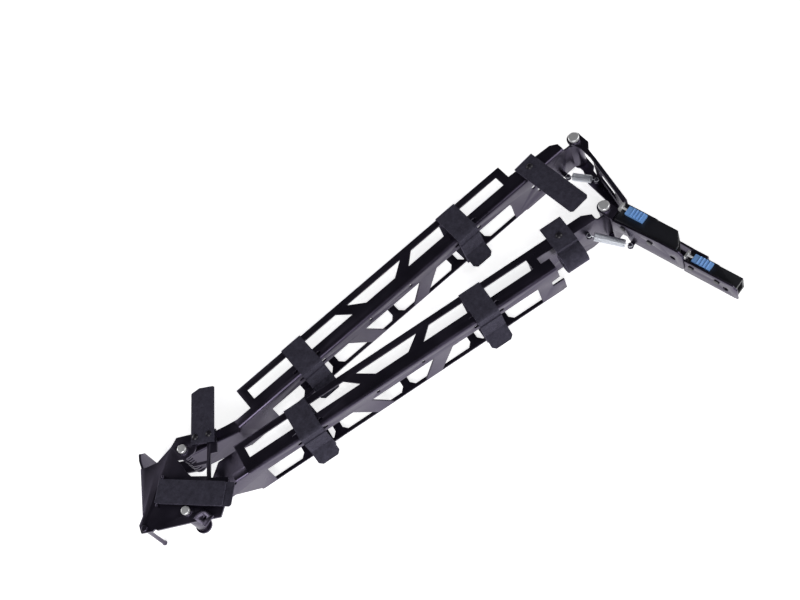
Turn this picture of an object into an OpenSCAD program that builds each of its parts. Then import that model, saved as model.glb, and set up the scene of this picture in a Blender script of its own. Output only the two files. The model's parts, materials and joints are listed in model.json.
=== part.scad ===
// Cable management arm for a rack server: two trellis baskets folded in a V.
// An elbow bracket joins them at one end, two slide brackets hold the other.
// Millimetres, Z up. X runs across the rack, -Y runs into the rack.
// The origin is on the rear hinge axis, level with the lowest pin heads.

/* [Baskets] */
// Length of one basket's trellis frame
frame_length = 292; // [288:1:296]
// Depth of a basket from its wall to its outer rail
basket_depth = 29; // [27:1:31]
// Height of a basket
basket_height = 39; // [38.8:0.1:39.2]
// Thickness of the baskets' steel sheet
sheet = 1.5; // [1.2:0.1:1.6]
// Outer radius of the bend between wall and top flange
bend_radius = 2.5; // [2:0.5:3]
// Width of the top flange's near strip
near_strip = 12; // [11:0.5:13]
// Width of the flanges' outer rail
outer_rail = 6; // [5:0.5:6.5]
// Height of the wall's upper band
upper_band = 12; // [11:0.5:12.5]
// Width of the bottom flange's near rail
lower_rail = 4; // [3.5:0.5:5]
// Width of the cross bars in the bottom flange
cross_bar = 7; // [6:0.5:8]
// Distance of a strap's middle from the nearer end of the frame
strap_place = 60; // [58:1:62]

/* [Pose] */
// Turn of the rear basket about Z
rear_turn = -12.6; // [-13:0.1:-12]
// Turn of the elbow bracket about Z
elbow_turn = -133.3; // [-134:0.1:-132.5]
// Turn of the front basket about Z
front_turn = -20.9; // [-21.4:0.1:-20.4]

/* [Hinges] */
// Distance of the rear arm's elbow pin before the frame's left end
rear_pin_before = 64.5; // [63:0.5:66]
// Distance of the rear arm's right pin past the frame's right end
rear_pin_after = 63; // [61:1:66]
// Distance of the front arm's elbow pin before the frame's left end
front_pin_before = 58.5; // [57:0.5:60]
// Distance of the front arm's right pin past the frame's right end
front_pin_after = 70.5; // [69:0.5:73]
// Depth of the rear arm's elbow pin behind its wall
rear_elbow_depth = 19.5; // [19:0.5:20]
// Depth of the rear arm's right pin behind its wall
rear_right_depth = 1.5; // [1:0.5:2]
// Depth of the front arm's elbow pin behind its wall
front_elbow_depth = 3; // [2.5:0.5:3.5]
// Depth of the front arm's right pin behind its wall
front_right_depth = 24; // [23.5:0.5:24.5]
// Distance between the elbow's two pins
elbow_spacing = 54; // [53:1:55]
// Radius of the hinge pins
pin_radius = 3; // [2.8:0.1:3.1]
// Radius of the slide brackets' pin heads
head_radius = 4.8; // [4.4:0.1:5]
// Radius of the elbow's pin heads
elbow_head_radius = 3.8; // [3.5:0.1:4.2]
// Outer radius of the knuckle tubes
knuckle_radius = 5.5; // [5.2:0.1:5.6]
// Wall of the plastic bushes in the knuckles
bush_wall = 1.2; // [1:0.1:1.3]
// Radial clearance of a pin in its bush
running_gap = 0.05; // [0.03:0.01:0.08]

/* [Straps] */
// Width of a hook-and-loop strap
strap_width = 20.5; // [20:0.5:21]
// Thickness of a strap
strap_thick = 1.2; // [1.1:0.05:1.2]
// Length of the flat strap at the rear basket's right end
rear_end_strap_length = 68; // [62:1:70]
// Outer radius of the rolled strap at the front basket's right end
roll_radius = 10.5; // [9.5:0.5:10.5]

/* [Slide brackets] */
// Thickness of the slide brackets' steel
bracket_sheet = 2; // [1.8:0.1:2.1]
// Height of the inner latch's housing
inner_latch_height = 19; // [17:0.5:19.5]
// Height of the outer latch's housing
outer_latch_height = 15; // [14:0.5:15]
// Width of the inner latch
inner_width = 18.6; // [18:0.2:18.6]
// Width of the outer latch
outer_width = 12.5; // [12:0.1:12.5]
// Length of the release tabs
tab_length = 17; // [16:0.5:17]
// Travel of the release tabs
tab_travel = 4; // [3:0.5:4]
// Radius of the locating bores for the slides' studs
stud_bore = 2.6; // [2.5:0.1:2.8]

/* [Hidden] */
$fn = 48;
base = 1.5;
top = base + basket_height;
mid = frame_length / 2;
gap = 0.3;
plate_low = 1.7;
plate_high = top - bracket_sheet - 0.1;
end_run = 8;
barrel_low = plate_low + bracket_sheet + gap;
barrel_high = plate_high - gap;
bush_radius = pin_radius + bush_wall;
strap_middles = [strap_place, frame_length - strap_place];
bar_places = [mid, mid - 67.5, mid + 67.5, mid - 99, mid + 99];
rear_pin_at = frame_length + rear_pin_after;
front_pin_at = frame_length + front_pin_after;
// place and washer of the end straps' rivets, between a channel's walls
rear_rivet = [frame_length + 18.5, 8];
front_rivet = [frame_length + 26, (front_right_depth + basket_depth) / 2 - 2.5];
washer_radius = 0.4 * (basket_depth - front_right_depth + 5.5 - 2 * sheet);
rivet_hole = 1.6;
rear_elbow_at = turned(-rear_pin_before - rear_pin_at, rear_elbow_depth - rear_right_depth,
  rear_turn);
front_elbow_at = rear_elbow_at + turned(elbow_spacing, 0, elbow_turn);
front_right_at = front_elbow_at + turned(front_pin_before + front_pin_at,
  front_right_depth - front_elbow_depth, front_turn);
// spring pins: (x, y) from their hinge or on the link, and the level of the spring's eye
rear_lug = [-20, -8, 12];
link_lug = [-12, -27, 12];
front_lug = [-23, -9, 30];
inner_lug = [-10.6, -30, 19];
elbow_side = 38;
guide_post_at = [elbow_spacing + 6.8, -elbow_side + 1.5];
elbow_strap_at = [elbow_spacing - 12, -elbow_side + 12.3];
elbow_strap_length = 64;
inner_low = 20.3;
outer_low = 0.6;
outer_plate_top = 19.9;
strap_top = top + 0.2;

black = [0.07, 0.07, 0.08];
plastic = [0.05, 0.05, 0.055];
webbing = [0.12, 0.12, 0.13];
bright = [0.75, 0.76, 0.78];
blue = [0.35, 0.62, 0.86];
nylon = [0.2, 0.2, 0.21];

// node to draw, or all

function turned(x, y, angle) = [x * cos(angle) - y * sin(angle), x * sin(angle) + y * cos(angle)];

// ---- placing the bodies

module on_rear_arm() {
  rotate(rear_turn) translate([-rear_pin_at, -rear_right_depth, 0]) children();
}

module on_elbow() {
  translate([rear_elbow_at[0], rear_elbow_at[1], 0]) rotate(elbow_turn) children();
}

module on_front_arm() {
  translate([front_elbow_at[0], front_elbow_at[1], 0]) rotate(front_turn)
    translate([front_pin_before, -front_elbow_depth, 0]) children();
}

module on_inner_bracket() {
  translate([front_right_at[0], front_right_at[1], 0]) children();
}

// ---- small helpers

module box_at(from, size) {
  translate(from) cube(size);
}

// a flat shape drawn as (along, height), standing as a wall of some thickness
module standing(thick) {
  translate([0, thick, 0]) rotate([90, 0, 0]) linear_extrude(thick) children();
}

module slot_shape(length, width) {
  square([length - width, width], center = true);
  for (side = [-1, 1]) translate([side * (length - width) / 2, 0]) circle(width / 2);
}

// a vertical plate between two plan points
module wall_between(a, b, thick, low, high) {
  run = b - a;
  translate([a[0], a[1], low]) rotate(atan2(run[1], run[0]))
    translate([0, -thick / 2, 0]) cube([norm(run), thick, high - low]);
}

module rounded_pin_head(radius, height) {
  round = min(1, height / 2);
  rotate_extrude() {
    square([radius - round, height]);
    square([radius, height - round]);
    translate([radius - round, height - round]) circle(round);
  }
}

module hinge_pin(head) {
  translate([0, 0, 1]) cylinder(r = pin_radius, h = top);
  cylinder(r = head, h = base - 0.1);
  translate([0, 0, top + 0.1]) rounded_pin_head(head, 3);
}

module rivet(radius, height) {
  cylinder(r = radius * 0.5, h = height);
  translate([0, 0, height]) intersection() {
    translate([0, 0, -radius * 0.75]) sphere(radius * 1.25);
    cylinder(r = radius, h = radius);
  }
}

// ---- the baskets

module top_flange_shape() {
  difference() {
    union() {
      translate([0, bend_radius]) square([frame_length + end_run, near_strip - bend_radius]);
      translate([0, basket_depth - outer_rail]) square([frame_length, outer_rail]);
      square_from([0, bend_radius], [7.5, basket_depth - bend_radius]);
      square_from([frame_length - 8, bend_radius], [8, basket_depth - bend_radius]);
      for (u = strap_middles) square_from([u - 7, bend_radius], [14, basket_depth - bend_radius]);
      for (side = [-1, 1]) polygon([
        [mid + side * 43, basket_depth - outer_rail + 1],
        [mid + side * 31.5, basket_depth - outer_rail + 1],
        [mid + side * 14.5, near_strip - 1],
        [mid + side * 29.5, near_strip - 1]]);
    }
    for (u = strap_middles) translate([u, 5.5]) slot_shape(29, 3);
  }
}

module square_from(from, size) {
  translate(from) square(size);
}

module bottom_flange_shape() {
  translate([0, bend_radius]) square([frame_length + end_run, lower_rail - bend_radius]);
  translate([0, basket_depth - outer_rail]) square([frame_length, outer_rail]);
  for (u = bar_places) {
    square_from([u - cross_bar / 2, bend_radius], [cross_bar, basket_depth - bend_radius]);
    for (side = [-1, 1]) polygon([
      [u + side * cross_bar / 2, lower_rail + 4],
      [u + side * (cross_bar / 2 + 4), lower_rail - 0.5],
      [u, lower_rail - 0.5],
      [u, lower_rail + 4]]);
  }
  square_from([0, bend_radius], [7.5, basket_depth - bend_radius]);
  square_from([frame_length - 8, bend_radius], [8, basket_depth - bend_radius]);
}

module wall_windows() {
  low = base + 3;
  high = top - upper_band;
  // plain windows from each end post to the strap and from the strap to the strut
  polygon([[13.5, low], [13.5, high], [strap_place - 8, high], [strap_place - 8, low]]);
  polygon([[strap_place + 8, low], [strap_place + 8, high], [mid - 49, high], [mid - 32, low]]);
  polygon([[mid - 16, low], [mid - 31, high], [mid + 31, high], [mid + 16, low]]);
  polygon([[mid + 32, low], [mid + 49, high],
    [frame_length - strap_place - 8, high], [frame_length - strap_place - 8, low]]);
  polygon([[frame_length - strap_place + 8, low], [frame_length - strap_place + 8, high],
    [frame_length - 13, high], [frame_length - 13, low]]);
}

module wall_shape() {
  difference() {
    union() {
      polygon([[0, base + bend_radius], [0, top - bend_radius],
        [frame_length + end_run, top - bend_radius], [frame_length + end_run, base + 25],
        [frame_length, base + 24], [frame_length, base + 17],
        [frame_length + end_run + 3, base + 17], [frame_length + end_run + 3, base + bend_radius]]);
      polygon([[-1, base + bend_radius], [0, base + bend_radius], [0, top - 8], [-1, top - 9]]);
    }
    wall_windows();
    for (u = strap_middles) translate([u, top - 6.5]) slot_shape(29, 3);
    for (u = [mid - 22, mid + 22]) translate([u, top - 6]) circle(1.6);
  }
}

// quarter-round bend along the frame, at the top or turned over for the bottom
module bend_section() {
  intersection() {
    difference() {
      circle(bend_radius);
      circle(bend_radius - sheet);
    }
    translate([-bend_radius, 0]) square(bend_radius);
  }
}

module bend(from, to) {
  translate([from, 0, 0]) rotate([90, 0, 90]) linear_extrude(to - from)
    translate([bend_radius, 0]) children();
}

module basket_frame() {
  translate([0, 0, top - sheet]) linear_extrude(sheet) top_flange_shape();
  translate([0, 0, base]) linear_extrude(sheet) bottom_flange_shape();
  standing(sheet) wall_shape();
  bend(0, frame_length + end_run) translate([0, top - bend_radius]) bend_section();
  bend(0, frame_length + end_run) translate([0, base + bend_radius]) mirror([0, 1]) bend_section();
  // folded lips that stiffen the outer rails
  box_at([0, basket_depth - sheet, top - 4.5], [frame_length, sheet, 4]);
  box_at([0, basket_depth - sheet, base + 0.5], [frame_length, sheet, 4]);
  // stiffening rib pressed along the near strip
  translate([9, near_strip - 2.2, top - sheet]) rotate([0, 90, 0])
    difference() {
      cylinder(r = 1.1, h = frame_length + end_run - 18);
      translate([-0.1, -2, -1]) cube([4, 4, frame_length]);
    }
}

// wall that runs tangent to a knuckle, from a point on the basket, bent along its way
module tangent_lug(from, pin, side, low, high) {
  run = pin - from;
  reach = norm(run);
  off = knuckle_radius - sheet / 2 - 0.2;
  angle = atan2(run[1], run[0]) + side * asin(off / reach);
  translate([from[0], from[1], low + 0.5]) rotate(angle) translate([0, -sheet / 2, 0])
    cube([sqrt(reach * reach - off * off), sheet, high - low - 1]);
}

// pin post on a tab, which a spring's eye drops over
module spring_post(level, reach, angle) {
  rotate(angle) translate([-1.9, -reach, level - 2.9]) cube([3.8, reach - 0.4, 1.3]);
  translate([0, 0, level - 3]) cylinder(r = 2.5, h = 1.5);
  translate([0, 0, level - 1.8]) cylinder(r = 0.9, h = 3.4);
}

module rear_basket() {
  end = rear_pin_at;
  lug_low = barrel_low + 1;
  lug_high = barrel_high - 1;
  color(black) on_rear_arm() difference() {
   union() {
    basket_frame();
    // left end: the wall and a short strip run on, then bend back to the elbow knuckle
    standing(sheet) difference() {
      polygon([[-20, lug_low], [-20, top - 7], [-15, top - bend_radius],
        [0.5, top - bend_radius], [0.5, lug_low]]);
      translate([-9, 15]) circle(3);
    }
    bend(-17, 0.5) translate([0, top - bend_radius]) bend_section();
    translate([-17, bend_radius, top - sheet]) cube([17.5, 5, sheet]);
    tangent_lug([-19.5, sheet / 2], [-rear_pin_before, rear_elbow_depth], 1, lug_low, lug_high);
    translate([0, 0, lug_high - sheet - 2]) linear_extrude(sheet) polygon([
      [-18, 0.8], [-7, 0.8], [-7, 9], [-24, 13], [-rear_pin_before + 8, rear_elbow_depth + 3],
      [-rear_pin_before + 3, rear_elbow_depth - 4.6]]);
    translate([-rear_pin_before, rear_elbow_depth, 0]) {
      knuckle();
      // rolled ribs round the knuckle
      for (i = [0:6]) translate([0, 0, barrel_low + 3 + i * 4]) rotate_extrude()
        translate([knuckle_radius - 0.5, 0]) square([1.3, 2]);
    }
    // right end: the channel narrows to the hinge
    standing(sheet) difference() {
      polygon([[frame_length - 0.5, base + 3], [frame_length - 0.5, top - bend_radius],
        [end - 13, top - bend_radius], [end - 10, lug_high], [end - 6, lug_high],
        [end - 6, lug_low], [end - 10, lug_low], [end - 28, base + 3]]);
      translate([end - 42, 17]) rotate(20) slot_shape(13, 7);
      translate([frame_length + 12, 25]) circle(2.2);
    }
    tangent_lug([end - 6.5, sheet / 2], [end, rear_right_depth], -1, lug_low, lug_high);
    bend(frame_length - 0.5, end - 13) translate([0, top - bend_radius]) bend_section();
    translate([0, 0, top - sheet]) linear_extrude(sheet) polygon([
      [frame_length - 0.5, bend_radius], [frame_length - 0.5, near_strip + 3],
      [end - 19, near_strip], [end - 13, 8], [end - 13, bend_radius]]);
    translate([0, 0, base]) linear_extrude(sheet) polygon([
      [frame_length - 0.5, 0.5], [frame_length - 0.5, near_strip],
      [end - 46, near_strip - 4], [end - 28, 5], [end - 28, 0.5]]);
    standing(sheet) square_from([frame_length - 0.5, base + 0.6],
      [end - 28 - frame_length, 3]);
    translate([end, rear_right_depth, 0]) knuckle();
    // post for the return spring
    translate([end + rear_lug[0], rear_right_depth + rear_lug[1], 0])
      spring_post(rear_lug[2], -rear_lug[1] - rear_right_depth + 0.5, 180);
   }
    // bores of the two knuckles and the hole of the end strap's rivet
    translate([-rear_pin_before, rear_elbow_depth, -1]) cylinder(r = bush_radius + 0.03, h = 50);
    translate([end, rear_right_depth, -1]) cylinder(r = bush_radius + 0.03, h = 50);
    translate([rear_rivet[0], rear_rivet[1], top - 5]) cylinder(r = rivet_hole, h = 8);
  }
}

module front_basket() {
  end = front_pin_at;
  lug_low = barrel_low + 1;
  lug_high = barrel_high - 1;
  color(black) on_front_arm() difference() {
   union() {
    basket_frame();
    // left end: straight lug to the elbow knuckle, stiffened by a web from the outer rail
    standing(sheet) polygon([[-20, 22], [-20, top - 7], [-12, top - bend_radius],
      [0.5, top - bend_radius], [0.5, lug_low]]);
    bend(-12, 0.5) translate([0, top - bend_radius]) bend_section();
    translate([-12, bend_radius, top - sheet]) cube([12.5, 5, sheet]);
    tangent_lug([-19.5, sheet / 2], [-front_pin_before, front_elbow_depth], 1, 21.8, lug_high);
    translate([0, 0, lug_high - 3 - sheet]) linear_extrude(sheet) polygon([
      [-19, 0.5], [0.5, 0.5], [0.5, basket_depth - 1], [-18, basket_depth - 1],
      [-29, 18], [-front_pin_before + 8, front_elbow_depth + 6],
      [-front_pin_before + 3.5, front_elbow_depth - 4]]);
    translate([-0.01, 0, lug_high - 3 - sheet]) cube([sheet, basket_depth - 1, 8]);
    translate([-front_pin_before, front_elbow_depth, 0]) knuckle();
    // right end: the channel runs on along its outer side
    box_at([frame_length - 1.5, 1, base + 0.6], [1.5, basket_depth - 2, 6]);
    translate([0, front_right_depth - 5.5, 0]) {
      standing(sheet) difference() {
        polygon([[frame_length - 8, base + 0.6], [frame_length - 8, top - 0.5],
          [end - 12, top - 0.5], [end - 10, lug_high], [end - 6, lug_high],
          [end - 6, lug_low], [end - 10, lug_low], [end - 20, base + 0.6]]);
        translate([end - 44, 13]) slot_shape(18, 8);
      }
      translate([0, 0, top - sheet]) linear_extrude(sheet) polygon([
        [frame_length - 8, 0], [frame_length - 8, basket_depth - front_right_depth + 5.5],
        [end - 20, basket_depth - front_right_depth + 5.5], [end - 12, 6], [end - 12, 0]]);
    }
    box_at([frame_length - 0.5, basket_depth - sheet, top - 4.5],
      [end - 20 - frame_length, sheet, 4]);
    tangent_lug([end - 6.5, front_right_depth - 5.5 + sheet / 2], [end, front_right_depth], -1,
      lug_low, lug_high);
    translate([end, front_right_depth, 0]) knuckle();
    // post for the return spring
    translate([end + front_lug[0], front_right_depth + front_lug[1], 0])
      spring_post(front_lug[2], -front_lug[1] - 5, 180);
   }
    // bores of the two knuckles and the hole of the end strap's rivet
    translate([-front_pin_before, front_elbow_depth, -1]) cylinder(r = bush_radius + 0.03, h = 50);
    translate([end, front_right_depth, -1]) cylinder(r = bush_radius + 0.03, h = 50);
    translate([front_rivet[0], front_rivet[1], top - 5]) cylinder(r = rivet_hole, h = 8);
  }
}

// barrel round a hinge pin, bored by the basket that carries it
module knuckle() {
  translate([0, 0, barrel_low]) cylinder(r = knuckle_radius, h = barrel_high - barrel_low);
}

module bush() {
  difference() {
    translate([0, 0, barrel_low]) cylinder(r = bush_radius, h = barrel_high - barrel_low);
    cylinder(r = pin_radius + running_gap, h = top);
  }
}

module rear_bushes() {
  color(nylon) on_rear_arm() {
    translate([-rear_pin_before, rear_elbow_depth, 0]) bush();
    translate([rear_pin_at, rear_right_depth, 0]) bush();
  }
}

module front_bushes() {
  color(nylon) on_front_arm() {
    translate([-front_pin_before, front_elbow_depth, 0]) bush();
    translate([front_pin_at, front_right_depth, 0]) bush();
  }
}

// ---- the straps

// section of a strap closed round a basket, drawn as (depth, height)
module strap_loop_section() {
  low = 0.1;
  high = strap_top + strap_thick;
  near = -0.4 - strap_thick;
  far = basket_depth + 0.4 + strap_thick;
  r = 2.6;
  difference() {
    rounded_area(near, low, far, high, r);
    rounded_area(near + strap_thick, low + strap_thick, far - strap_thick, high - strap_thick,
      r - strap_thick);
  }
  // the free end lies on the wall
  translate([near - strap_thick + 0.05, 14]) square([strap_thick, top - 22]);
}

module rounded_area(x0, y0, x1, y1, r) {
  translate([x0 + r, y0]) square([x1 - x0 - 2 * r, y1 - y0]);
  translate([x0, y0 + r]) square([x1 - x0, y1 - y0 - 2 * r]);
  for (x = [x0 + r, x1 - r]) for (y = [y0 + r, y1 - r]) translate([x, y]) circle(r);
}

module strap_loop(middle) {
  translate([middle - strap_width / 2, 0, 0]) {
    rotate([90, 0, 90]) linear_extrude(strap_width) strap_loop_section();
    // the free end springs out at the bottom, with bevelled corners
    translate([0, -strap_thick - 0.7, 14.8]) rotate([51, 0, 0]) rotate(-90)
      linear_extrude(strap_thick) flat_strap_shape(14.5, 3);
  }
}

module rear_strap_left() {
  color(webbing) on_rear_arm() strap_loop(strap_middles[0]);
}

module rear_strap_right() {
  color(webbing) on_rear_arm() strap_loop(strap_middles[1]);
}

module front_strap_left() {
  color(webbing) on_front_arm() strap_loop(strap_middles[0]);
}

module front_strap_right() {
  color(webbing) on_front_arm() strap_loop(strap_middles[1]);
}

module flat_strap_shape(length, bevel) {
  polygon([[0, 0], [length - bevel, 0], [length, bevel], [length, strap_width - bevel],
    [length - bevel, strap_width], [0, strap_width]]);
}

module rear_end_strap() {
  color(webbing) on_rear_arm() difference() {
    translate([rear_rivet[0] - 11, rear_rivet[1] + 7.5, top + 0.5]) rotate(-85.5)
      linear_extrude(strap_thick) flat_strap_shape(rear_end_strap_length, 2);
    translate([rear_rivet[0], rear_rivet[1], top - 1]) cylinder(r = rivet_hole, h = 4);
  }
}

// one edge of the rolled strap's spiral, from outside to inside
function spiral(r0, step, turns, n) = [for (i = [0:n])
  let (a = 60 + 360 * turns * i / n, r = r0 - step * turns * i / n) [r * cos(a), r * sin(a)]];

module front_end_strap() {
  n = 72;
  near = front_rivet[0] - 10;
  roll_depth = roll_radius - 3;
  roll_level = top - 12;
  outer = spiral(roll_radius, 2.4, 3.2, n);
  inner = spiral(roll_radius - strap_thick - 0.3, 2.4, 3.2, n);
  back = [for (i = [n:-1:0]) inner[i]];
  color(webbing) on_front_arm() difference() {
    union() {
      translate([near, roll_depth, roll_level]) rotate([90, 0, 90]) linear_extrude(strap_width)
        polygon(concat(outer, back));
      // over the top of the channel and out behind it
      translate([near, 12, strap_top]) cube([strap_width, basket_depth - 2, strap_thick]);
      translate([near, 0, 0]) rotate([90, 0, 90]) linear_extrude(strap_width) polygon([
        [12.4, 37.3], [13.8, 36.6], [14.6, strap_top], [14.6, strap_top + strap_thick],
        [12, strap_top + strap_thick], [12, strap_top]]);
    }
    translate([front_rivet[0], front_rivet[1], strap_top - 1]) cylinder(r = rivet_hole, h = 4);
  }
}

module rear_strap_rivets() {
  color(bright) on_rear_arm() translate([rear_rivet[0], rear_rivet[1], top - sheet - 1.5]) {
    rivet(3, 5);
    cylinder(r = 3, h = 1.4);
  }
}

module front_strap_rivets() {
  color(bright) on_front_arm() translate([front_rivet[0], front_rivet[1], top - sheet - 1.5]) {
    rivet(3, 5);
    cylinder(r = washer_radius, h = 1.4);
  }
}

// ---- the elbow

module pin_holes() {
  circle(pin_radius + 0.02);
  translate([elbow_spacing, 0]) circle(pin_radius + 0.02);
}

module elbow_bracket() {
  color(black) on_elbow() difference() {
    union() {
      // bottom plate: an arm to each pin
      translate([0, 0, plate_low]) linear_extrude(bracket_sheet) difference() {
        union() {
          polygon([[-8, -elbow_side], [36, -elbow_side], [32, -27], [4, -22], [5, 0], [-6, 0],
            [-8, -28]]);
          polygon([[24, -elbow_side], [35, -elbow_side], [elbow_spacing - 4, -7],
            [elbow_spacing - 1, 6], [elbow_spacing - 9, 0], [22, -28]]);
          circle(6);
          translate([elbow_spacing, 0]) circle(7);
        }
        pin_holes();
      }
      // upright side wall, cut away towards the front pin
      translate([0, -elbow_side, 0]) standing(bracket_sheet) polygon([
        [-8, plate_low], [-8, top - 6], [-4, top + 2.5], [2, top + 2.5],
        [8, plate_high - 0.05], [elbow_spacing - 1, plate_high - 0.05], [elbow_spacing - 1, 26],
        [36, plate_low]]);
      // gusset between the side wall and the bottom plate
      translate([10, -elbow_side + 1.5, plate_low + 1]) rotate([90, 0, 90])
        linear_extrude(bracket_sheet)
        polygon([[0, 0], [11, 0], [3, 33], [0, 33]]);
    }
  }
}

module elbow_top_plate() {
  color(black) on_elbow() translate([0, 0, plate_high]) linear_extrude(bracket_sheet)
    difference() {
      union() {
        polygon([[-12, 30], [-12, -5], [-5, -10], [6, -23], [8.2, -33], [8.2, -elbow_side],
          [elbow_spacing, -elbow_side], [elbow_spacing + 10.5, -26], [elbow_spacing + 10.5, 4],
          [elbow_spacing + 11.5, 29], [elbow_spacing + 2, 33], [elbow_spacing, 37], [33, 37],
          [30, 22.5], [9, 24], [9, 30]]);
        circle(8);
        // ear for the guide post
        translate([elbow_spacing, -elbow_side])
          polygon([[-4, 0], [3, -3.5], [10, -2], [10.5, 8], [8, 12], [-2, 4]]);
      }
      pin_holes();
      // openings beside the rear pin, with a cross bar between them
      polygon([[-1.5, 13], [-1.5, 22], [14.5, 20.5], [14.5, 8], [9, 2], [7.5, 5], [5, 9.5]]);
      polygon([[17, 9], [17, 20], [28, 19.5], [25, 6], [19, 1], [8, -5], [8.5, 0], [13, 4.5]]);
      translate(guide_post_at) circle(1.72);
      for (y = [12, 24]) translate([-8, y]) circle(1.6);
    }
}

module elbow_rear_pin() {
  color(bright) on_elbow() hinge_pin(elbow_head_radius);
}

module elbow_front_pin() {
  color(bright) on_elbow() translate([elbow_spacing, 0, 0]) hinge_pin(elbow_head_radius);
}

module elbow_guide_post() {
  color(black) on_elbow() translate([guide_post_at[0], guide_post_at[1], 0]) {
    cylinder(r = 1.7, h = top + 1);
    translate([0, 0, 1]) sphere(2.2);
    translate([0, 0, plate_high - 1.6]) cylinder(r = 2.8, h = 1.5);
    translate([0, 0, top + 0.05]) rounded_pin_head(2.8, 1.6);
  }
}

module elbow_rear_strap() {
  color(webbing) on_elbow() difference() {
    translate([-2, 8, strap_top]) rotate(176) translate([0, -strap_width, 0])
      linear_extrude(strap_thick) polygon([[0, 0], [49, 0], [50, 1], [50, strap_width - 7],
        [46, strap_width], [0, strap_width]]);
    for (y = [12, 24]) translate([-8, y, strap_top - 1]) cylinder(r = 1.6, h = 4);
  }
}

module elbow_front_strap() {
  color(webbing) on_elbow()
    translate([elbow_strap_at[0], elbow_strap_at[1], strap_top]) rotate(75) {
      // two layers that meet in a fold at the end
      translate([2.3, 0, 0]) linear_extrude(strap_thick)
        flat_strap_shape(elbow_strap_length, 1.5);
      translate([2.3, 0, 4.2 - strap_thick + 0.8]) linear_extrude(strap_thick)
        translate([0, -0.8]) flat_strap_shape(elbow_strap_length - 6, 1);
      translate([2.35, strap_width, 2.5]) rotate([90, 0, 0]) linear_extrude(strap_width)
        difference() {
          circle(2.5);
          circle(2.5 - strap_thick);
          translate([0, -3]) square(6);
        }
    }
}

module elbow_strap_bar() {
  color(black) on_elbow()
    translate([elbow_strap_at[0], elbow_strap_at[1], strap_top + 2.5]) rotate(75) {
      translate([2.35, -3, 0]) rotate([-90, 0, 0]) cylinder(r = 1.1, h = strap_width + 6);
      // feet down to the plate
      for (y = [-3, strap_width + 1.2]) translate([1.25, y, -2.6]) cube([2.2, 1.8, 3]);
    }
}

module elbow_rivets() {
  color(bright) on_elbow() for (y = [12, 24]) translate([-8, y, plate_high - 0.8]) {
    rivet(2.8, 4.4);
    cylinder(r = 2.8, h = 0.7);
  }
}

// ---- the outer slide bracket, the part that stays still

web_start = [-6.5, -24.3];
web_knee = [-27.7, -72.6];
outer_left = -42.9;
outer_back = -136.8;
outer_nose = -184.3;
outer_right = outer_left + outer_width;
web_end = [outer_right + 1.05, outer_back - 14];

module outer_link() {
  color(black) difference() {
    union() {
      // narrow top flange and wider bottom flange of the tall part, with the pin's ears
      translate([0, 0, plate_high]) linear_extrude(bracket_sheet) difference() {
        union() {
          circle(6.3);
          polygon([[5.5, -3], [3.5, -12.5], [-2.5, -17], [web_knee[0] + 1, web_knee[1]],
            [web_knee[0] - 3, web_knee[1] + 1], [-18.6, -46], [-8, -22], [-5, -11], [-5.5, -3]]);
        }
        circle(pin_radius + 0.02);
      }
      translate([0, 0, plate_low]) linear_extrude(bracket_sheet) difference() {
        union() {
          circle(6.3);
          polygon([[5.5, -3], [2, -13], [-2, -15], [web_knee[0] + 1, web_knee[1]],
            [web_knee[0] - 2, web_knee[1]], [-22.5, -48], [-18.4, -32.3], [-14.8, -18],
            [-6.2, -7], [-5.5, -3]]);
        }
        circle(pin_radius + 0.02);
      }
      wall_between(web_start, web_knee, bracket_sheet, plate_low + 0.3,
        plate_high + bracket_sheet - 0.3);
      // low part that runs under the inner latch
      wall_between(web_knee, [web_end[0], outer_back], bracket_sheet, plate_low + 0.2, 17.5);
      wall_between([web_end[0], outer_back], web_end, bracket_sheet, plate_low + 0.1, 17.3);
      translate([0, 0, plate_low]) linear_extrude(bracket_sheet) polygon([
        web_knee + [0.3, 0.4], [-33, -80], [-34.5, outer_back + 1.7], [web_end[0], outer_back + 1.7]]);
      // post for the rear return spring
      translate([link_lug[0], link_lug[1], 0]) spring_post(link_lug[2], 4.7, 66.3);
    }
    // window in the tall web
    translate([-14.6, -43.1, 21]) rotate(66) cube([26, 8, 14], center = true);
  }
}

module outer_latch_plate() {
  length = outer_back - outer_nose;
  color(black) difference() {
    union() {
      box_at([outer_left, outer_nose - 2, outer_low], [1.6, length + 3.6, outer_plate_top - outer_low]);
      // back flange that joins the plate to the link
      box_at([outer_left, outer_back + 0.05, outer_low + 1.5],
        [outer_width - 0.05, 1.55, outer_latch_height - 1.5]);
    }
    translate([outer_left - 1, outer_nose + 9, outer_low + 8]) rotate([0, 90, 0])
      cylinder(r = stud_bore, h = 4);
    // relief in the nose corner
    translate([outer_left - 1, outer_nose - 2.5, outer_plate_top]) rotate([0, 90, 0])
      cylinder(r = 4, h = 4);
    for (y = [outer_back - 6, outer_nose + 17]) translate([outer_left - 1, y, outer_low + 12.5])
      rotate([0, 90, 0]) cylinder(r = 1.52, h = 4);
    // floor flange of the link passes through
    translate([-36, outer_back, 0]) cube([10, 3, plate_low + bracket_sheet + 0.1]);
  }
}

// housing of a latch: an open-nosed box with a slot for the tab's stem and a post for the rod
module latch_housing(width, length, low, height, tab_middle, tab_back) {
  difference() {
    union() {
      box_at([0, -length, low], [width, length, height]);
      // cheeks that guide the tab
      box_at([0, -length * 0.52 - 1, low + height - 0.5], [1.2, length * 0.52, 1.6]);
      box_at([width - 1.2, -length * 0.52 - 1, low + height - 0.5], [1.2, length * 0.52, 1.6]);
    }
    // mouth for the slide's tongue
    box_at([2, -length - 1, low + 2.5], [width - 4, length * 0.72, height - 5]);
    // slot for the tab's stem
    box_at([tab_middle - 1.7, -tab_back - tab_length + 0.5, low + height / 2],
      [3.4, tab_length - 8 + tab_travel + 1, height]);
  }
}

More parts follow.
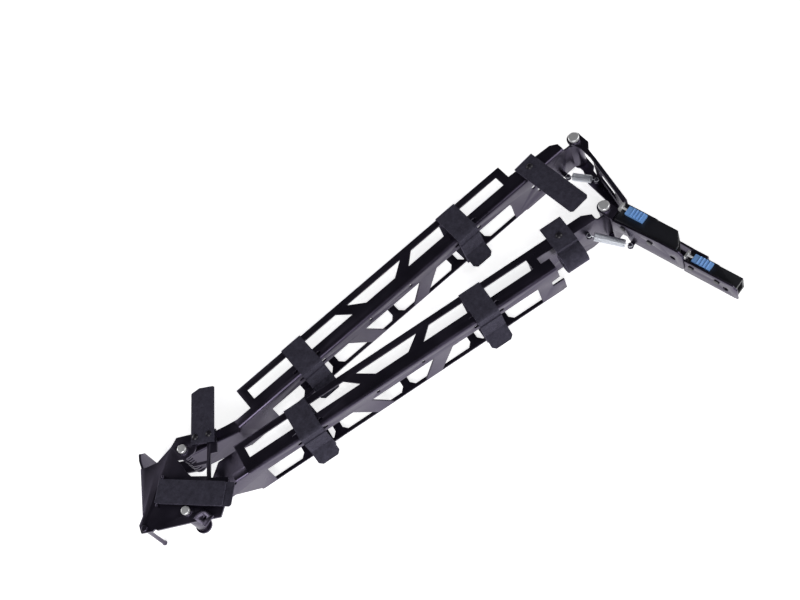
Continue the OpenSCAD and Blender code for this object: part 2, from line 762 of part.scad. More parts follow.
module outer_latch_housing() {
  color(plastic) difference() {
    translate([outer_left + 1.65, outer_back, 0])
      latch_housing(outer_width - 1.65, outer_back - outer_nose, outer_low, outer_latch_height,
        (outer_width - 1.65) / 2, 4.5);
    for (y = [outer_back - 6, outer_nose + 17]) translate([outer_left - 1, y, outer_low + 12.5])
      rotate([0, 90, 0]) cylinder(r = 1.52, h = 6);
    // seat of the stud behind the plate's bore
    translate([outer_left - 1, outer_nose + 9, outer_low + 8]) rotate([0, 90, 0])
      cylinder(r = stud_bore + 0.6, h = 6);
  }
}

// the blue release tab, a hollow cap with finger ribs, drawn from its back end
module release_tab(width, high) {
  difference() {
    union() {
      box_at([0.3, -tab_length, high + 0.3], [width - 0.6, tab_length, 3]);
      for (i = [0:3]) translate([0.3, -tab_length + 3 + i * 3, high + 3.3]) rotate([0, 90, 0])
        cylinder(r = 0.7, h = width - 0.6);
      box_at([width / 2 - 1.2, -tab_length + 1, high - 4], [2.4, tab_length - 8, 4.5]);
    }
    // bore that runs on the guide rod
    translate([width / 2, 1, high + 1.9]) rotate([90, 0, 0]) cylinder(r = 1.05, h = 12.5);
  }
}

module guide_rod(width, high, back) {
  // rod along Y with a round head at its back end
  translate([width / 2, back, high + 1.9]) rotate([90, 0, 0]) {
    cylinder(r = 1, h = back + 6);
    cylinder(r = 1.85, h = back - tab_travel - 0.8);
  }
  // post that holds it on the housing
  box_at([width / 2 - 3.4, tab_travel + 0.9, high + 0.02], [6.8, 2, 4.2]);
}

module outer_guide_rod() {
  color(bright) translate([outer_left + 1.65, outer_back - 4.5, 0])
    guide_rod(outer_width - 1.65, outer_low + outer_latch_height, 7.2);
}

module outer_release_tab() {
  color(blue) translate([outer_left + 1.65 + 1.3, outer_back - 4.5, 0])
    release_tab(outer_width - 1.65 - 2.6, outer_low + outer_latch_height);
}

module outer_rivets() {
  color(bright) for (y = [outer_back - 6, outer_nose + 17])
    translate([outer_left, y, outer_low + 12.5]) rotate([0, -90, 0]) {
      translate([0, 0, -4.5]) cylinder(r = 1.5, h = 5);
      rounded_pin_head(2.6, 1.1);
    }
}

module rear_hinge_pin() {
  color(bright) hinge_pin(head_radius);
}

// ---- the inner slide bracket, drawn from its hinge pin

inner_left = -6.6;
inner_back = -13;
inner_nose = -72;

module inner_bracket() {
  plate_bottom = 17;
  color(black) on_inner_bracket() difference() {
    union() {
      for (z = [plate_low, plate_high]) translate([0, 0, z]) linear_extrude(bracket_sheet)
        difference() {
          union() {
            circle(6.3);
            polygon([[-6.3, 0], [5, -3.8], [4.5, -12], [inner_left, -12]]);
          }
          circle(pin_radius + 0.02);
        }
      box_at([inner_left, -12, plate_low], [10.5, bracket_sheet,
        plate_high + bracket_sheet - plate_low]);
      // side plate with its stepped lower edge and rising top edge
      translate([inner_left, 0, 0]) rotate(-90) standing(1.6) polygon([
        [10, 22], [10, 36], [24, 39], [58, 42.5], [76, 42.5], [80, 38.5],
        [80, plate_bottom + 2], [78, plate_bottom - 1], [27, plate_bottom - 1], [25, 22.3]]);
      // post for the front return spring
      translate([inner_lug[0], inner_lug[1], 0])
        spring_post(inner_lug[2], inner_left - inner_lug[0] + 0.8, 90);
    }
    translate([inner_left - 1, -70, inner_low + 8]) rotate([0, 90, 0])
      cylinder(r = stud_bore, h = 4);
    for (y = [-22, -48]) translate([inner_left - 1, y, inner_low + 13]) rotate([0, 90, 0])
      cylinder(r = 1.52, h = 4);
  }
}

module inner_latch_housing() {
  color(plastic) on_inner_bracket() difference() {
    translate([inner_left + 1.65, inner_back, 0])
      latch_housing(inner_width - 1.65, inner_back - inner_nose, inner_low, inner_latch_height,
        7 + (inner_width - 10.15) / 2, 6);
    for (y = [-22, -48]) translate([inner_left - 1, y, inner_low + 13]) rotate([0, 90, 0])
      cylinder(r = 1.52, h = 6);
    // slanted nose
    translate([inner_left + inner_width, inner_nose + 8, inner_low - 1]) rotate(35)
      translate([-30, -20, 0]) cube([60, 20, 30]);
  }
}

module inner_guide_rod() {
  color(bright) on_inner_bracket() translate([inner_left + 1.65 + 7, inner_back - 6, 0])
    guide_rod(inner_width - 1.65 - 8.5, inner_low + inner_latch_height, 6.9);
}

module inner_release_tab() {
  color(blue) on_inner_bracket() translate([inner_left + 1.65 + 7, inner_back - 6, 0])
    release_tab(inner_width - 1.65 - 8.5, inner_low + inner_latch_height);
}

module inner_rivets() {
  color(bright) on_inner_bracket() for (y = [-22, -48])
    translate([inner_left, y, inner_low + 13]) rotate([0, -90, 0]) {
      translate([0, 0, -4.5]) cylinder(r = 1.5, h = 5);
      rounded_pin_head(2.6, 1.1);
    }
}

module front_hinge_pin() {
  color(bright) on_inner_bracket() hinge_pin(head_radius);
}

// ---- the two return springs: a close-wound body with an eye at each end

// half section of the coil, drawn as (radius, along), open at both ends
module coil_section(radius, length, turns) {
  pitch = length / turns;
  ridge = [for (i = [0:turns - 1]) for (k = [0:3])
    [radius + [-0.45, 0.6, 0.6, -0.45][k], (i + [0.08, 0.32, 0.68, 0.92][k]) * pitch]];
  polygon(concat([[radius - 1.1, 0], [radius - 0.45, 0]], ridge,
    [[radius - 0.45, length], [radius - 1.1, length]]));
}

module coil_body(a, b, radius, turns) {
  run = b - a;
  length = norm(run);
  translate(a) rotate([0, acos(run[2] / length), atan2(run[1], run[0])]) {
    translate([0, 0, 4.5]) rotate_extrude($fn = 32) coil_section(radius, length - 9, turns);
    // end wires: a straight across the coil and a neck to the eye
    for (z = [4.6, length - 5.8]) translate([-radius + 0.6, -0.6, z])
      cube([2 * radius - 1.2, 1.2, 1.2]);
    for (z = [2, length - 5]) translate([0, 0, z]) cylinder(r = 0.5, h = 3);
  }
  // eyes over the posts
  for (p = [a, b]) translate(p) rotate_extrude($fn = 32) translate([1.8, 0]) circle(0.6, $fn = 16);
}

function placed(at, lug, angle) = [
  at[0] + turned(lug[0], lug[1], angle)[0], at[1] + turned(lug[0], lug[1], angle)[1], lug[2]];

module rear_spring() {
  color(bright) coil_body(placed([0, 0], rear_lug, rear_turn), link_lug, 3.1, 12);
}

module front_spring() {
  color(bright) coil_body(placed(front_right_at, front_lug, front_turn),
    placed(front_right_at, inner_lug, 0), 3.3, 18);
}

outer_link();
outer_latch_plate();
outer_latch_housing();
outer_guide_rod();
outer_release_tab();
outer_rivets();
rear_hinge_pin();
rear_spring();
rear_basket();
rear_bushes();
rear_strap_left();
rear_strap_right();
rear_end_strap();
rear_strap_rivets();
elbow_bracket();
elbow_top_plate();
elbow_rear_pin();
elbow_front_pin();
elbow_guide_post();
elbow_rear_strap();
elbow_front_strap();
elbow_strap_bar();
elbow_rivets();
front_basket();
front_bushes();
front_strap_left();
front_strap_right();
front_end_strap();
front_strap_rivets();
inner_bracket();
inner_latch_housing();
inner_guide_rod();
inner_release_tab();
inner_rivets();
front_hinge_pin();
front_spring();
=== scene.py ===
import bpy
import math
import json
from mathutils import Vector, Matrix

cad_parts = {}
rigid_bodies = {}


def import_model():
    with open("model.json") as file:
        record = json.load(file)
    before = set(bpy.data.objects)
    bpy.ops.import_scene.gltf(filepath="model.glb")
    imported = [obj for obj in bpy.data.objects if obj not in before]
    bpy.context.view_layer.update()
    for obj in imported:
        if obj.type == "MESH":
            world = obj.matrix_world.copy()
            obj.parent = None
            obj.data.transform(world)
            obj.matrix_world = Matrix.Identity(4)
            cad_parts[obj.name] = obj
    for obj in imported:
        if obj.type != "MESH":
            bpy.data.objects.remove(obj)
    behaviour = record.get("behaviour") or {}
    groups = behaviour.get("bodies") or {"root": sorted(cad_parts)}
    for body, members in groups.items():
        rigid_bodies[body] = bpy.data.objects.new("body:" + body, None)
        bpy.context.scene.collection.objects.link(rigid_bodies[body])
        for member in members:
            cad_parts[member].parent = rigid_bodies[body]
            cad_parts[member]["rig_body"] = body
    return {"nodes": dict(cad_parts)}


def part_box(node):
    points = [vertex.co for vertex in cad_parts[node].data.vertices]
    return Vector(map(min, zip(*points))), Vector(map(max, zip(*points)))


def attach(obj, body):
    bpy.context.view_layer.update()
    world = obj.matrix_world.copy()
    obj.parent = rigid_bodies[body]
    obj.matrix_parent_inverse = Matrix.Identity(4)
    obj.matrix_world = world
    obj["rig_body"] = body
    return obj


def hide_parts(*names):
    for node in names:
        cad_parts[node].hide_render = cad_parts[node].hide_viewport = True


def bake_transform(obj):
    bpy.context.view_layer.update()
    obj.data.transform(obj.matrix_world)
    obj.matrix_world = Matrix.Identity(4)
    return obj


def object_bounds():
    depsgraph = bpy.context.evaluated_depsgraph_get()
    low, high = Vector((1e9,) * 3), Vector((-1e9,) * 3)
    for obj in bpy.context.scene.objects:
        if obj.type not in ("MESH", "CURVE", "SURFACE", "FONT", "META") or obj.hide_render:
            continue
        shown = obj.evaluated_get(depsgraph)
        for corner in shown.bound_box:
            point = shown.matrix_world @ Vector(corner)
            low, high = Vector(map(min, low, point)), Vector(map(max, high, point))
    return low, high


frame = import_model()
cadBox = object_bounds()
scene = bpy.context.scene
print("frame loaded")

# camera, in metres, degrees and millimetres of lens; it looks from the place to the target
shot = {
    "target": (-0.1871, 0.0558, 0.0),
    "place": (-0.4394, -0.5109, 1.0366),
    "roll": 30.87,
    "lens": 62.8,
    "sensor": 36,
    "shift": (-0.0049, -0.0023),
    "clip": (0.05, 20),
}
cam = bpy.data.cameras.new("shotCam")
camObj = bpy.data.objects.new("shotCam", cam)
scene.collection.objects.link(camObj)
gaze = (Vector(shot["target"]) - Vector(shot["place"])).normalized()
quat = gaze.to_track_quat("-Z", "Y")
camObj.matrix_world = (Matrix.Translation(Vector(shot["place"])) @ quat.to_matrix().to_4x4()
                       @ Matrix.Rotation(math.radians(-shot["roll"]), 4, "Z"))
cam.lens = shot["lens"]
cam.sensor_width = shot["sensor"]
cam.shift_x, cam.shift_y = shot["shift"]
cam.clip_start, cam.clip_end = shot["clip"]
scene.camera = camObj

# a Mix node's two colour inputs and its colour output, by number
mixFirst, mixSecond, mixResult = 6, 7, 2


def linear(hexCode):
    # sRGB hex to the linear colour that the shader wants
    parts = [int(hexCode[i:i + 2], 16) / 255 for i in (1, 3, 5)]
    return tuple(c / 12.92 if c <= 0.04045 else ((c + 0.055) / 1.055) ** 2.4 for c in parts) + (1,)


def node(mat, kind, links=(), **settings):
    # add a node, set its values, link its inputs: links are (input, from node, its output)
    n = mat.node_tree.nodes.new(kind)
    for key, value in settings.items():
        if hasattr(n, key):
            setattr(n, key, value)
        else:
            n.inputs[key.replace("_", " ")].default_value = value
    for target, source, output in links:
        mat.node_tree.links.new(source.outputs[output], n.inputs[target])
    return n


def newMat(name, **sockets):
    mat = bpy.data.materials.new(name)
    mat.use_nodes = True
    shader = mat.node_tree.nodes["Principled BSDF"]
    for key, value in sockets.items():
        shader.inputs[key.replace("_", " ")].default_value = value
    return mat, shader


def link(mat, source, output, target, socket):
    mat.node_tree.links.new(source.outputs[output], target.inputs[socket])


def deselect():
    if bpy.context.object and bpy.context.object.mode != "OBJECT":
        bpy.ops.object.mode_set(mode="OBJECT")
    bpy.ops.object.select_all(action="DESELECT")


def pick(obj):
    deselect()
    obj.select_set(True)
    bpy.context.view_layer.objects.active = obj


def applyAll(obj):
    pick(obj)
    for mod in list(obj.modifiers):
        bpy.ops.object.modifier_apply(modifier=mod.name)


def roundEdges(obj, width, steps, angle):
    bevel = obj.modifiers.new("edge", "BEVEL")
    bevel.width = width
    bevel.segments = steps
    bevel.limit_method = "ANGLE"
    bevel.angle_limit = math.radians(angle)


def paint(obj, mat):
    obj.data.materials.clear()
    obj.data.materials.append(mat)


# materials: grain, peel, marks, loop and clump are sizes in metres; clouds are counted per metre
# the turning marks and the plastics' grain are coarser than real ones, so that they show

# black powder coat on folded steel sheet: fine orange peel, slight plum cast
powderLook = {"colour": "#0a090d", "thin": "#121016", "cast": "#c9bbe2", "ior": 1.72, "shine": 0.85,
              "rough": (0.26, 0.44), "clouds": 35.0, "contrast": (0.35, 0.68),
              "peel": 0.0009, "peelStrength": 0.2, "peelDepth": 0.0002}
powderBlack, shader = newMat("powderCoatedSteel", IOR=powderLook["ior"],
                             Specular_IOR_Level=powderLook["shine"], Specular_Tint=linear(powderLook["cast"]))
coord = node(powderBlack, "ShaderNodeTexCoord")
peel = node(powderBlack, "ShaderNodeTexNoise", [("Vector", coord, "Object")],
            Scale=1 / powderLook["peel"], Detail=2.0, Roughness=0.5)
cloud = node(powderBlack, "ShaderNodeTexNoise", [("Vector", coord, "Object")],
             Scale=powderLook["clouds"], Detail=4.0)
rough = node(powderBlack, "ShaderNodeMapRange", [("Value", cloud, "Fac")],
             From_Min=powderLook["contrast"][0], From_Max=powderLook["contrast"][1],
             To_Min=powderLook["rough"][0], To_Max=powderLook["rough"][1])
tint = node(powderBlack, "ShaderNodeMix", [("Factor", cloud, "Fac")], data_type="RGBA")
tint.inputs[mixFirst].default_value = linear(powderLook["colour"])
tint.inputs[mixSecond].default_value = linear(powderLook["thin"])
bump = node(powderBlack, "ShaderNodeBump", [("Height", peel, "Fac")],
            Strength=powderLook["peelStrength"], Distance=powderLook["peelDepth"])
link(powderBlack, rough, "Result", shader, "Roughness")
link(powderBlack, tint, mixResult, shader, "Base Color")
link(powderBlack, bump, "Normal", shader, "Normal")

# zinc plated turned steel: bright, with faint turning marks round the pins
zincLook = {"colour": "#e9e9ea", "metal": 0.65, "rough": (0.3, 0.44), "clouds": 160.0, "contrast": (0.3, 0.7),
            "marks": 0.00025, "stretch": (0.15, 0.15, 1.0), "marksStrength": 0.08, "marksDepth": 0.0001}
zincPlate, shader = newMat("zincPlatedTurnedSteel", Metallic=zincLook["metal"],
                           Base_Color=linear(zincLook["colour"]))
coord = node(zincPlate, "ShaderNodeTexCoord")
stretch = node(zincPlate, "ShaderNodeMapping", [("Vector", coord, "Object")], Scale=zincLook["stretch"])
marks = node(zincPlate, "ShaderNodeTexNoise", [("Vector", stretch, "Vector")],
             Scale=1 / zincLook["marks"], Detail=2.0)
cloud = node(zincPlate, "ShaderNodeTexNoise", [("Vector", coord, "Object")],
             Scale=zincLook["clouds"], Detail=3.0)
rough = node(zincPlate, "ShaderNodeMapRange", [("Value", cloud, "Fac")],
             From_Min=zincLook["contrast"][0], From_Max=zincLook["contrast"][1],
             To_Min=zincLook["rough"][0], To_Max=zincLook["rough"][1])
bump = node(zincPlate, "ShaderNodeBump", [("Height", marks, "Fac")],
            Strength=zincLook["marksStrength"], Distance=zincLook["marksDepth"])
link(zincPlate, rough, "Result", shader, "Roughness")
link(zincPlate, bump, "Normal", shader, "Normal")

# zinc plate with a black passivate, on the rivets: dark, half glossy, a little paler in places
blackZincLook = {"colour": "#1d1b22", "pale": "#2a272e", "metal": 0.3, "rough": 0.34, "clouds": 260.0}
blackZinc, shader = newMat("blackPassivatedRivets", Metallic=blackZincLook["metal"],
                           Roughness=blackZincLook["rough"])
coord = node(blackZinc, "ShaderNodeTexCoord")
stain = node(blackZinc, "ShaderNodeTexNoise", [("Vector", coord, "Object")],
             Scale=blackZincLook["clouds"], Detail=3.0)
tint = node(blackZinc, "ShaderNodeMix", [("Factor", stain, "Fac")], data_type="RGBA")
tint.inputs[mixFirst].default_value = linear(blackZincLook["colour"])
tint.inputs[mixSecond].default_value = linear(blackZincLook["pale"])
link(blackZinc, tint, mixResult, shader, "Base Color")

# drawn spring wire, lightly oiled: pale, with a soft uneven shine
wireLook = {"colour": "#e2e5ec", "metal": 0.7, "rough": (0.32, 0.42), "clouds": 420.0,
            "contrast": (0.3, 0.7)}
springWire, shader = newMat("drawnSpringWire", Metallic=wireLook["metal"],
                            Base_Color=linear(wireLook["colour"]))
coord = node(springWire, "ShaderNodeTexCoord")
cloud = node(springWire, "ShaderNodeTexNoise", [("Vector", coord, "Object")],
             Scale=wireLook["clouds"], Detail=3.0)
rough = node(springWire, "ShaderNodeMapRange", [("Value", cloud, "Fac")],
             From_Min=wireLook["contrast"][0], From_Max=wireLook["contrast"][1],
             To_Min=wireLook["rough"][0], To_Max=wireLook["rough"][1])
link(springWire, rough, "Result", shader, "Roughness")

# moulded plastics: spark-eroded grain all over, and a faint paler blush where the melt slowed
mouldedLook = {"clouds": 70.0, "contrast": (0.3, 0.7), "grainStrength": 0.15, "grainDepth": 0.0001}


def mouldedPlastic(name, look):
    mat, shader = newMat(name)
    coord = node(mat, "ShaderNodeTexCoord")
    fine = node(mat, "ShaderNodeTexNoise", [("Vector", coord, "Object")],
                Scale=1 / look["grain"], Detail=3.0)
    cloud = node(mat, "ShaderNodeTexNoise", [("Vector", coord, "Object")],
                 Scale=mouldedLook["clouds"], Detail=2.0)
    tint = node(mat, "ShaderNodeMix", [("Factor", cloud, "Fac")], data_type="RGBA")
    tint.inputs[mixFirst].default_value = linear(look["colour"])
    tint.inputs[mixSecond].default_value = linear(look["blush"])
    rough = node(mat, "ShaderNodeMapRange", [("Value", fine, "Fac")],
                 From_Min=mouldedLook["contrast"][0], From_Max=mouldedLook["contrast"][1],
                 To_Min=look["rough"][0], To_Max=look["rough"][1])
    bump = node(mat, "ShaderNodeBump", [("Height", fine, "Fac")],
                Strength=mouldedLook["grainStrength"], Distance=mouldedLook["grainDepth"])
    link(mat, tint, mixResult, shader, "Base Color")
    link(mat, rough, "Result", shader, "Roughness")
    link(mat, bump, "Normal", shader, "Normal")
    return mat


# glass-filled nylon of the latch housings: near black, half matt
glassNylonLook = {"colour": "#0f0f14", "blush": "#191920", "grain": 0.0005, "rough": (0.34, 0.48)}
glassNylon = mouldedPlastic("mouldedGlassNylon", glassNylonLook)

# acetal of the release tabs: even mid blue, slightly waxy
blueAcetalLook = {"colour": "#6294d4", "blush": "#7fa9e0", "grain": 0.0004, "rough": (0.3, 0.44)}
blueAcetal = mouldedPlastic("mouldedBlueAcetal", blueAcetalLook)

# plain nylon of the hinge bushes: dark grey, matt
bushNylonLook = {"colour": "#2b2b30", "blush": "#36363c", "grain": 0.0004, "rough": (0.39, 0.53)}
bushNylon = mouldedPlastic("mouldedBushNylon", bushNylonLook)

# hook and loop fabric, woven ground with a brushed loop pile: matt, paler where it turns from the eye
fabricLook = {"colour": "#2a2833", "pile": "#3b3946", "rough": 0.92, "shine": 0.2, "contrast": (0.35, 0.65),
              "sheen": "#a79fbd", "sheenWeight": 0.45, "sheenRough": 0.4, "loop": 0.0007, "clump": 0.004,
              "loopStrength": 0.6, "loopDepth": 0.0004, "napStrength": 0.35, "napDepth": 0.0005}
loopFabric, shader = newMat("wovenLoopFabric", Roughness=fabricLook["rough"],
                            Sheen_Weight=fabricLook["sheenWeight"], Sheen_Roughness=fabricLook["sheenRough"],
                            Sheen_Tint=linear(fabricLook["sheen"]), Specular_IOR_Level=fabricLook["shine"])
coord = node(loopFabric, "ShaderNodeTexCoord")
loops = node(loopFabric, "ShaderNodeTexVoronoi", [("Vector", coord, "Object")],
             Scale=1 / fabricLook["loop"])
fuzz = node(loopFabric, "ShaderNodeTexNoise", [("Vector", coord, "Object")], Scale=1 / fabricLook["clump"],
            Detail=8.0, Roughness=0.7)
pile = node(loopFabric, "ShaderNodeMapRange", [("Value", fuzz, "Fac")],
            From_Min=fabricLook["contrast"][0], From_Max=fabricLook["contrast"][1])
tint = node(loopFabric, "ShaderNodeMix", [("Factor", pile, "Result")], data_type="RGBA")
tint.inputs[mixFirst].default_value = linear(fabricLook["colour"])
tint.inputs[mixSecond].default_value = linear(fabricLook["pile"])
weave = node(loopFabric, "ShaderNodeBump", [("Height", loops, "Distance")],
             Strength=fabricLook["loopStrength"], Distance=fabricLook["loopDepth"])
nap = node(loopFabric, "ShaderNodeBump", [("Height", fuzz, "Fac"), ("Normal", weave, "Normal")],
           Strength=fabricLook["napStrength"], Distance=fabricLook["napDepth"])
link(loopFabric, tint, mixResult, shader, "Base Color")
link(loopFabric, nap, "Normal", shader, "Normal")
print("materials made")

# a merged copy of a solid takes its place, with its flat faces joined and its sharp edges softened
dressing = {"weld": 0.00002, "flat": 0.5, "steps": 2, "sharp": 40, "smooth": 34}  # metres, degrees


def dress(name, mat, edge, steps=dressing["steps"], sharp=dressing["sharp"]):
    source = frame["nodes"][name]
    piece = source.copy()
    piece.data = source.data.copy()
    piece.name = name + "_dressed"
    scene.collection.objects.link(piece)
    pick(piece)
    bpy.ops.object.mode_set(mode="EDIT")
    bpy.ops.mesh.select_all(action="SELECT")
    bpy.ops.mesh.remove_doubles(threshold=dressing["weld"])
    bpy.ops.mesh.dissolve_limited(angle_limit=math.radians(dressing["flat"]))
    bpy.ops.object.mode_set(mode="OBJECT")
    roundEdges(piece, edge, steps, sharp)
    applyAll(piece)
    bpy.ops.object.shade_smooth_by_angle(angle=math.radians(dressing["smooth"]))
    paint(piece, mat)
    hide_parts(name)
    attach(piece, source["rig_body"])


# folded and pressed steel, then the elbow's small post and bar
sheetMetal = {"edge": 0.00025,
              "nodes": ["outer_link", "outer_latch_plate", "rear_basket", "elbow_bracket",
                        "elbow_top_plate", "front_basket", "inner_bracket"]}
for name in sheetMetal["nodes"]:
    dress(name, powderBlack, sheetMetal["edge"])
postAndBar = {"edge": 0.0002, "nodes": ["elbow_guide_post", "elbow_strap_bar"]}
for name in postAndBar["nodes"]:
    dress(name, powderBlack, postAndBar["edge"])
print("sheet metal dressed")


def pinCentre(name):
    low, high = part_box(name)
    return Vector(((low.x + high.x) / 2, (low.y + high.y) / 2, 0))


# stop tab on the elbow, bent up beside the front pin; "at" and "turn" are from the elbow's rear pin,
# with X towards its front pin, and the hole's share is along the tab
stopTab = {"size": (0.011, 0.0175, 0.0016), "at": (0.0535, 0.0132, 0.0387), "turn": -44.6, "tilt": 18,
           "hole": 0.002, "holeSides": 24, "holeShare": 0.62, "drill": 0.01,
           "edge": 0.0003, "edgeSteps": 2, "sharp": 30}
rearPin = pinCentre("elbow_rear_pin")
pinLine = pinCentre("elbow_front_pin") - rearPin
elbowPlace = Matrix.Translation(rearPin) @ Matrix.Rotation(math.atan2(pinLine.y, pinLine.x), 4, "Z")
wide, long = stopTab["size"][:2]
deselect()
bpy.ops.mesh.primitive_cube_add(size=1, location=(0.5, 0.5, 0.5))
tab = bpy.context.object
tab.name = "elbow_stop_tab"
bpy.ops.object.transform_apply(location=True)
tab.scale = stopTab["size"]
bpy.ops.object.transform_apply(scale=True)
deselect()
bpy.ops.mesh.primitive_cylinder_add(vertices=stopTab["holeSides"], radius=stopTab["hole"],
                                    depth=stopTab["drill"],
                                    location=(wide / 2, long * stopTab["holeShare"], 0))
drill = bpy.context.object
cut = tab.modifiers.new("hole", "BOOLEAN")
cut.object = drill
cut.solver = "EXACT"
roundEdges(tab, stopTab["edge"], stopTab["edgeSteps"], stopTab["sharp"])
applyAll(tab)
bpy.data.objects.remove(drill)
tab.data.transform(elbowPlace @ Matrix.Translation(stopTab["at"])
                   @ Matrix.Rotation(math.radians(stopTab["turn"]), 4, "Z")
                   @ Matrix.Rotation(math.radians(stopTab["tilt"]), 4, "X"))
pick(tab)
bpy.ops.object.shade_smooth_by_angle(angle=math.radians(dressing["smooth"]))
paint(tab, powderBlack)
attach(tab, "elbow")
print("stop tab made")

turned = {"edge": 0.0002, "nodes": ["rear_hinge_pin", "front_hinge_pin", "elbow_rear_pin", "elbow_front_pin",
                                    "outer_guide_rod", "inner_guide_rod"]}
for name in turned["nodes"]:
    dress(name, zincPlate, turned["edge"])

rivets = {"edge": 0.0002, "nodes": ["outer_rivets", "inner_rivets", "rear_strap_rivets", "front_strap_rivets",
                                    "elbow_rivets"]}
for name in rivets["nodes"]:
    dress(name, blackZinc, rivets["edge"])

mouldings = {"edge": 0.0004, "steps": 3,
             "housings": ["outer_latch_housing", "inner_latch_housing"],
             "tabs": ["outer_release_tab", "inner_release_tab"]}
for name in mouldings["housings"]:
    dress(name, glassNylon, mouldings["edge"], mouldings["steps"])
for name in mouldings["tabs"]:
    dress(name, blueAcetal, mouldings["edge"], mouldings["steps"])

bushes = {"edge": 0.0001, "nodes": ["rear_bushes", "front_bushes"]}
for name in bushes["nodes"]:
    dress(name, bushNylon, bushes["edge"])
print("pins and mouldings dressed")

straps = {"edge": 0.00035, "steps": 3, "sharp": 50,
          "nodes": ["rear_strap_left", "rear_strap_right", "rear_end_strap", "elbow_rear_strap",
                    "elbow_front_strap", "front_strap_left", "front_strap_right", "front_end_strap"]}
for name in straps["nodes"]:
    dress(name, loopFabric, straps["edge"], straps["steps"], straps["sharp"])
print("straps dressed")

# return springs: close-wound coils with a hook at each end, in metres
# ends are the middles of the posts' necks, on the arm first and then on the slide bracket
coilSets = [
    {"name": "rear_coil", "node": "rear_spring", "bodies": ("rear_arm", "outer_slide_bracket"),
     "ends": ((-0.02126, -0.00344, 0.012), (-0.012, -0.027, 0.012)), "radius": 0.0031, "wire": 0.0009,
     "hook": 0.0018},
    {"name": "front_coil", "node": "front_spring", "bodies": ("front_arm", "inner_slide_bracket"),
     "ends": ((-0.06641, -0.06099, 0.030), (-0.05231, -0.09079, 0.019)), "radius": 0.0033, "wire": 0.0009,
     "hook": 0.0018},
]
# lead is left for each hook, pitch is in wires, and the rest are facets and the smoothing angle
winding = {"lead": 0.0045, "pitch": 1.04, "wireSides": 8, "turnSteps": 20, "eyeSteps": 28, "smooth": 60}


def makeCoil(info):
    start, end = Vector(info["ends"][0]), Vector(info["ends"][1])
    run = end - start
    lead, sides, wireRadius = winding["lead"], winding["wireSides"], info["wire"] / 2
    body = run.length - 2 * lead
    turns = int(body / (info["wire"] * winding["pitch"]))
    # wire section swept round and along by a screw
    deselect()
    bpy.ops.mesh.primitive_circle_add(vertices=sides, radius=wireRadius, rotation=(math.pi / 2, 0, 0),
                                      location=(info["radius"], 0, lead))
    coil = bpy.context.object
    bpy.ops.object.transform_apply(location=True, rotation=True)
    screw = coil.modifiers.new("wind", "SCREW")
    screw.axis = "Z"
    screw.angle = math.tau
    screw.iterations = turns
    screw.screw_offset = body / turns
    screw.steps = screw.render_steps = winding["turnSteps"]
    screw.use_normal_calculate = True
    applyAll(coil)
    bpy.ops.object.mode_set(mode="EDIT")
    bpy.ops.mesh.select_all(action="SELECT")
    bpy.ops.mesh.fill_holes(sides=0)
    bpy.ops.mesh.normals_make_consistent(inside=False)
    bpy.ops.object.mode_set(mode="OBJECT")
    parts = [coil]
    # hooks: a straight across the coil, a neck, and the eye
    neck = lead - info["hook"]
    for near, away in ((lead, -1), (run.length - lead, 1)):
        deselect()
        bpy.ops.mesh.primitive_cylinder_add(vertices=sides, radius=wireRadius, depth=2 * info["radius"],
                                            rotation=(0, math.pi / 2, 0), location=(0, 0, near))
        parts.append(bpy.context.object)
        deselect()
        bpy.ops.mesh.primitive_cylinder_add(vertices=sides, radius=wireRadius, depth=neck,
                                            location=(0, 0, near + away * neck / 2))
        parts.append(bpy.context.object)
    turn = run.to_track_quat("Z", "Y").to_matrix().to_4x4()
    for part in parts:
        pick(part)
        bpy.ops.object.transform_apply(location=True, rotation=True)
        part.data.transform(Matrix.Translation(start) @ turn)
    for place in (start, end):
        deselect()
        bpy.ops.mesh.primitive_torus_add(major_radius=info["hook"], minor_radius=wireRadius, location=place,
                                         major_segments=winding["eyeSteps"], minor_segments=sides)
        bpy.ops.object.transform_apply(location=True)
        parts.append(bpy.context.object)
    deselect()
    for part in parts:
        part.select_set(True)
    bpy.context.view_layer.objects.active = coil
    bpy.ops.object.join()
    coil.name = info["name"]
    bpy.ops.object.shade_smooth_by_angle(angle=math.radians(winding["smooth"]))
    paint(coil, springWire)
    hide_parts(info["node"])
    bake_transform(coil)


for info in coilSets:
    makeCoil(info)
print("springs wound")

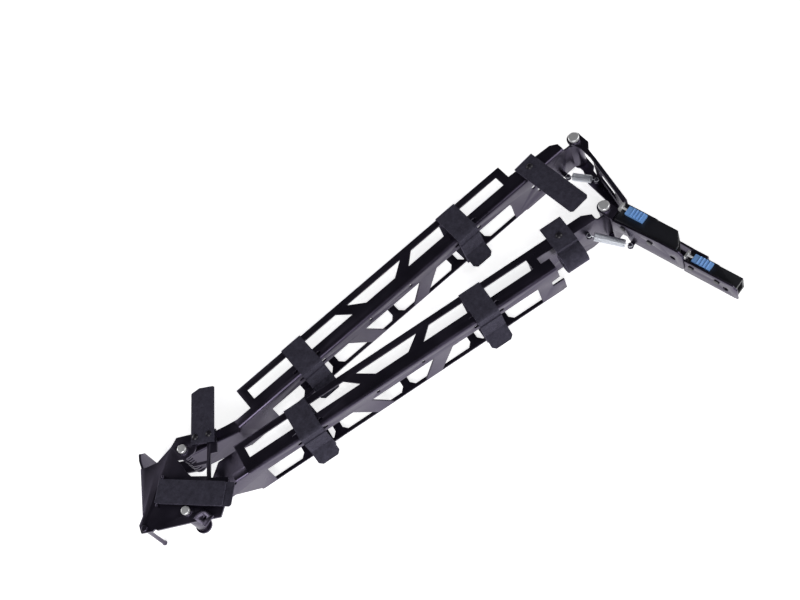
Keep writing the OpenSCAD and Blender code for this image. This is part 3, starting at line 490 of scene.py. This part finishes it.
# studio: pale floor that glows a little, dim world that the camera sees as white, soft lamps
studio = {"floor": "#fbfbfc", "glow": 0.76, "floorRough": 0.9, "floorSize": 8, "floorGap": 0.0005,
          "middle": (-0.2, 0, 0), "sky": (0.9, 0.92, 1, 1), "world": 0.04, "white": (1, 1, 1, 1)}
deselect()
lowest = cadBox[0][2]
middleX, middleY = studio["middle"][:2]
bpy.ops.mesh.primitive_plane_add(size=studio["floorSize"],
                                 location=(middleX, middleY, lowest - studio["floorGap"]))
floor = bpy.context.object
floor.name = "floor"
# matt white paint, lit from within so that it stays pale away from the lamps
floorMat, shader = newMat("paleFloor", Base_Color=linear(studio["floor"]), Roughness=studio["floorRough"],
                          Emission_Color=studio["white"], Emission_Strength=studio["glow"])
floor.data.materials.append(floorMat)

world = bpy.data.worlds.new("studio")
scene.world = world
world.use_nodes = True
tree = world.node_tree
dim = tree.nodes["Background"]
dim.inputs["Color"].default_value = studio["sky"]
dim.inputs["Strength"].default_value = studio["world"]
bright = tree.nodes.new("ShaderNodeBackground")
bright.inputs["Color"].default_value = studio["white"]
ray = tree.nodes.new("ShaderNodeLightPath")
mixer = tree.nodes.new("ShaderNodeMixShader")
tree.links.new(ray.outputs["Is Camera Ray"], mixer.inputs["Fac"])
tree.links.new(dim.outputs["Background"], mixer.inputs[1])
tree.links.new(bright.outputs["Background"], mixer.inputs[2])
tree.links.new(mixer.outputs["Shader"], tree.nodes["World Output"].inputs["Surface"])

lamps = [
    {"name": "keyLamp", "at": (-1.3, -1.0, 1.0), "size": 1.3, "watts": 24},
    {"name": "fillLamp", "at": (1.0, -1.1, 0.9), "size": 1.3, "watts": 14},
    {"name": "backLamp", "at": (-0.9, 1.6, 0.55), "size": 0.9, "watts": 8},
]
for lamp in lamps:
    light = bpy.data.lights.new(lamp["name"], "AREA")
    light.shape = "DISK"
    light.size = lamp["size"]
    light.energy = lamp["watts"]
    lampObj = bpy.data.objects.new(lamp["name"], light)
    scene.collection.objects.link(lampObj)
    place = Vector(lamp["at"])
    aim = (Vector(studio["middle"]) - place).to_track_quat("-Z", "Y")
    lampObj.matrix_world = Matrix.Translation(place) @ aim.to_matrix().to_4x4()
print("studio lit")

scene.view_settings.view_transform = "Standard"
print("cad box", [round(c, 4) for v in cadBox for c in v])
